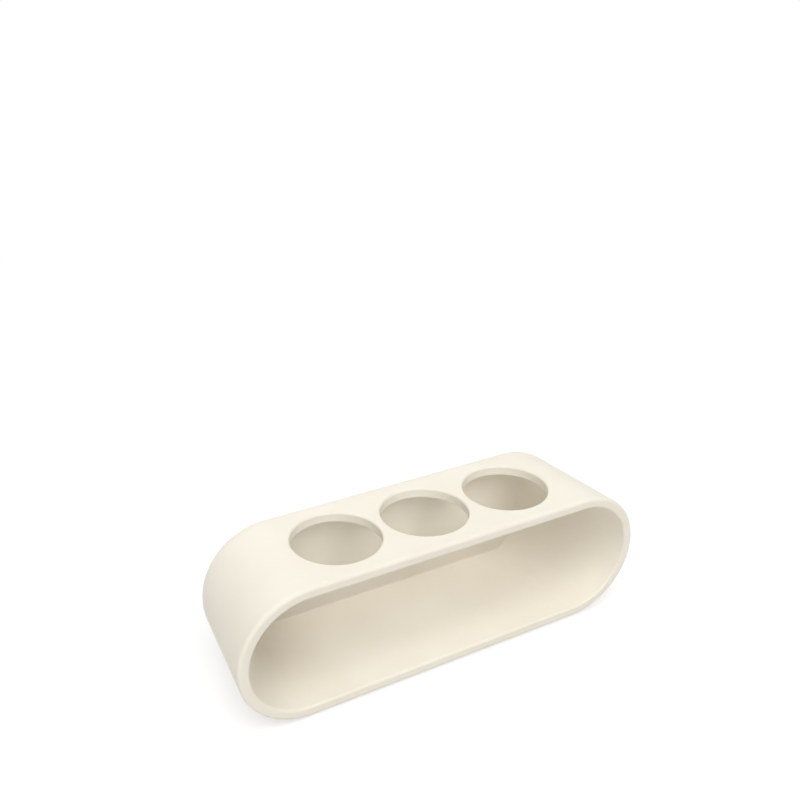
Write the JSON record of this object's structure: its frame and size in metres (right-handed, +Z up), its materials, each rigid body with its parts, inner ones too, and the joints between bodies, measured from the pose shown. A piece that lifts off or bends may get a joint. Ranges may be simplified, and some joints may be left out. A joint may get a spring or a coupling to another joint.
{
  "type": "toothbrush holder",
  "caption": "Free-standing toothbrush holder: a stadium-shaped tub lying on its side, open at the front and closed at the back, with round brush holes along its flat top and small non-slip pads underneath.",
  "frame": {"origin": "on the counter under the middle of the holder, at the level of the pads' undersides", "axes": "+X along the holder's length, +Y from the open front to the closed back, +Z up along the brush holes"},
  "size_m": [0.1846, 0.0576, 0.0592],
  "materials": {
    "body": "satin cream moulding with a fine even grain",
    "pad": "matt warm grey silicone"
  },
  "bodies": {
    "root": {"holder_body": "body", "foot_front_left": "pad", "foot_front_right": "pad", "foot_rear_left": "pad", "foot_rear_right": "pad"}
  },
  "joints": []
}
